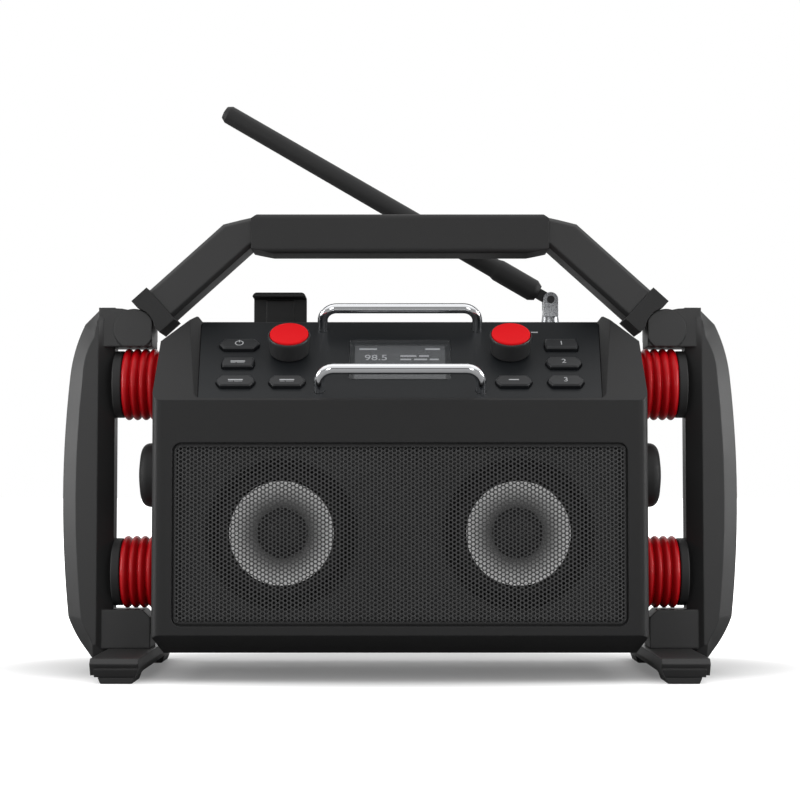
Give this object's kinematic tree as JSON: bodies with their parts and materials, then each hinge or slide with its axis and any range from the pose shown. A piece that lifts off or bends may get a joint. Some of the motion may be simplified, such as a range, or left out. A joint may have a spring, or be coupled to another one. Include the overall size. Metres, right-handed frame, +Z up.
{
  "type": "jobsite radio",
  "caption": "Shock-mounted jobsite radio: speaker housing hung on red rubber dampers in a roll hoop with carry handle, sloping control panel, antenna and phone clamp.",
  "frame": {"origin": "middle of the footprint at ground level, under the housing", "axes": "+X to the right seen from the front, +Y from the front face to the rear cover, +Z up"},
  "size_m": [0.43, 0.18, 0.3756],
  "materials": {
    "housing": "fine moulded grain, satin",
    "panel": "smooth satin, slightly blue grey",
    "hoop": "satin, glass-filled",
    "grip": "soft touch",
    "damper": "glossy moulded rubber",
    "rubber": "matt moulded rubber",
    "grille": "powder coated perforated sheet",
    "steel": "zinc plated",
    "chrome": "polished",
    "cone": "pressed speaker cone",
    "basket": "black frame",
    "magnet": "ferrite",
    "knob": "satin",
    "cap": "smooth red",
    "key": "satin keycap",
    "lens": "clear window",
    "module": "display panel",
    "board": "circuit board",
    "component": "moulded component",
    "antenna_metal": "satin grey",
    "battery": "satin"
  },
  "bodies": {
    "root": {"amplifier_board": "board", "antenna_base": "antenna_metal", "battery_pack": "battery", "bump_stops": "rubber", "clamp_guide": "component", "collar_bolts": "steel", "control_board": "board", "control_panel": "panel", "damper_bolts": "steel", "damper_lower_left": "damper", "damper_lower_right": "damper", "damper_seats": "hoop", "damper_upper_left": "damper", "damper_upper_right": "damper", "display_lens": "lens", "display_module": "module", "door_seal": "rubber", "foot_pads": "rubber", "front_housing": "housing", "guard_left": "hoop", "guard_right": "hoop", "handle_bar": "hoop", "handle_collars": "hoop", "handle_grip": "grip", "hinge_pin": "steel", "housing_screws": "steel", "mains_inlet": "component", "rail_front": "chrome", "rail_rear": "chrome", "rear_cover": "housing", "rotary_encoders": "component", "skid_bolts": "steel", "skid_left": "hoop", "skid_right": "hoop", "speaker_baffle": "basket", "speaker_baskets": "basket", "speaker_cone_left": "cone", "speaker_cone_right": "cone", "speaker_grille": "grille", "speaker_magnets": "magnet", "tact_switches": "component"},
    "volume_knob_body": {"volume_knob": "knob"},
    "volume_cap_body": {"volume_cap": "cap"},
    "tuning_knob_body": {"tuning_knob": "knob"},
    "tuning_cap_body": {"tuning_cap": "cap"},
    "antenna_turret": {"antenna_knuckle": "antenna_metal", "antenna_pin": "steel"},
    "antenna_arm": {"antenna_rod": "rubber"},
    "phone_clamp": {"clamp_jaw": "housing"},
    "rear_door": {"battery_door": "housing"},
    "power_button_body": {"power_button": "key"},
    "source_button_body": {"source_button": "key"},
    "menu_button_body": {"menu_button": "key"},
    "info_button_body": {"info_button": "key"},
    "preset_one_button_body": {"preset_one_button": "key"},
    "preset_two_button_body": {"preset_two_button": "key"},
    "preset_three_button_body": {"preset_three_button": "key"},
    "back_button_body": {"back_button": "key"}
  },
  "joints": [
    {"name": "volume_turn", "type": "hinge", "parent": "root", "child": "volume_knob_body", "pos_m": [-0.06891, -0.03566, 0.20116], "axis": [0, -0.6157, 0.788], "continuous": true},
    {"name": "volume_press", "type": "slide", "parent": "volume_knob_body", "child": "volume_cap_body", "axis": [0, 0.6157, -0.788], "range_m": [0, 0.0008], "stiffness_N_per_m": 800},
    {"name": "tuning_turn", "type": "hinge", "parent": "root", "child": "tuning_knob_body", "pos_m": [0.06891, -0.03566, 0.20116], "axis": [0, -0.6157, 0.788], "continuous": true},
    {"name": "tuning_press", "type": "slide", "parent": "tuning_knob_body", "child": "tuning_cap_body", "axis": [0, 0.6157, -0.788], "range_m": [0, 0.0008], "stiffness_N_per_m": 800},
    {"name": "power_button_press", "type": "slide", "parent": "root", "child": "power_button_body", "axis": [0, 0.6157, -0.788], "range_m": [0, 0.0012], "stiffness_N_per_m": 400},
    {"name": "source_button_press", "type": "slide", "parent": "root", "child": "source_button_body", "axis": [0, 0.6157, -0.788], "range_m": [0, 0.0012], "stiffness_N_per_m": 400},
    {"name": "menu_button_press", "type": "slide", "parent": "root", "child": "menu_button_body", "axis": [0, 0.6157, -0.788], "range_m": [0, 0.0012], "stiffness_N_per_m": 400},
    {"name": "info_button_press", "type": "slide", "parent": "root", "child": "info_button_body", "axis": [0, 0.6157, -0.788], "range_m": [0, 0.0012], "stiffness_N_per_m": 400},
    {"name": "preset_one_button_press", "type": "slide", "parent": "root", "child": "preset_one_button_body", "axis": [0, 0.6157, -0.788], "range_m": [0, 0.0012], "stiffness_N_per_m": 400},
    {"name": "preset_two_button_press", "type": "slide", "parent": "root", "child": "preset_two_button_body", "axis": [0, 0.6157, -0.788], "range_m": [0, 0.0012], "stiffness_N_per_m": 400},
    {"name": "preset_three_button_press", "type": "slide", "parent": "root", "child": "preset_three_button_body", "axis": [0, 0.6157, -0.788], "range_m": [0, 0.0012], "stiffness_N_per_m": 400},
    {"name": "back_button_press", "type": "slide", "parent": "root", "child": "back_button_body", "axis": [0, 0.6157, -0.788], "range_m": [0, 0.0012], "stiffness_N_per_m": 400},
    {"name": "antenna_swivel", "type": "hinge", "parent": "root", "child": "antenna_turret", "pos_m": [0.1015, 0.06, 0.2262], "axis": [0, 0, -1], "range_deg": [0, 180]},
    {"name": "antenna_tilt", "type": "hinge", "parent": "antenna_turret", "child": "antenna_arm", "pos_m": [0.1015, 0.06, 0.2435], "axis": [0, 1, 0], "range_deg": [-30, 60]},
    {"name": "clamp_lift", "type": "slide", "parent": "root", "child": "phone_clamp", "axis": [0, 0, 1], "range_m": [0, 0.038], "stiffness_N_per_m": 60},
    {"name": "door_swing", "type": "hinge", "parent": "root", "child": "rear_door", "pos_m": [0, 0.077, 0.0616], "axis": [-1, 0, 0], "range_deg": [0, 95]}
  ]
}
